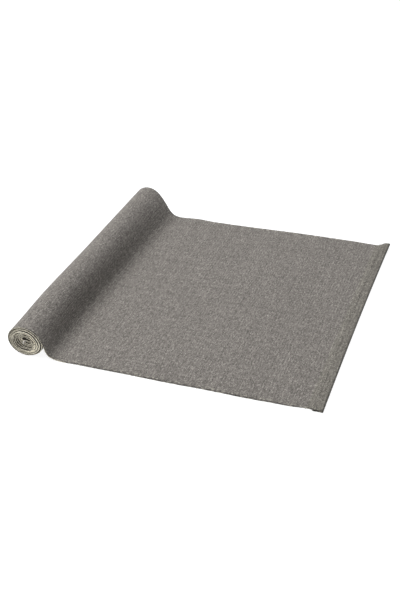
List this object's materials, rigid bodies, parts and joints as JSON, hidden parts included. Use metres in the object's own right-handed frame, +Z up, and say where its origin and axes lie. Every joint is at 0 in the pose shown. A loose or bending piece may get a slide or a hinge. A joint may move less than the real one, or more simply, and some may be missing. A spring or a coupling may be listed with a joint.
{
  "type": "table runner",
  "caption": "Long woven cloth for a table, hemmed at both ends, laid flat at its free end with the rest wound into a roll that rolls up along it.",
  "frame": {"origin": "middle of the underside of the whole runner as it lies, on the table", "axes": "+X along the runner towards its free end, +Y across its width, +Z up off the table"},
  "size_m": [0.3487, 0.35, 0.0396],
  "materials": {
    "woven_cloth": "matt warm grey plain weave with lighter and darker yarns",
    "hem_cloth": "the same matt warm grey cloth, turned under",
    "sewing_thread": "dark grey sewing thread"
  },
  "bodies": {
    "laid_end": {"laid_cloth": "woven_cloth", "free_end_hem": "hem_cloth", "free_end_stitches": "sewing_thread"},
    "rising_turn": {"rising_cloth": "woven_cloth"},
    "roll": {"rolled_cloth": "woven_cloth", "inner_end_hem": "hem_cloth", "inner_end_stitches": "sewing_thread"}
  },
  "joints": [
    {"name": "roll_up", "type": "slide", "parent": "laid_end", "child": "rising_turn", "axis": [1, 0, 0], "range_m": [0, 0.2432], "deforming": ["laid_cloth"]},
    {"name": "roll_turn", "type": "hinge", "parent": "rising_turn", "child": "roll", "pos_m": [-0.1546, 0, 0.0198], "axis": [0, 1, 0], "range_deg": [-721, 0]}
  ],
  "couplings": [
    {"joint": "roll_turn", "follows": "roll_up", "rad_per_m": -51.68}
  ]
}
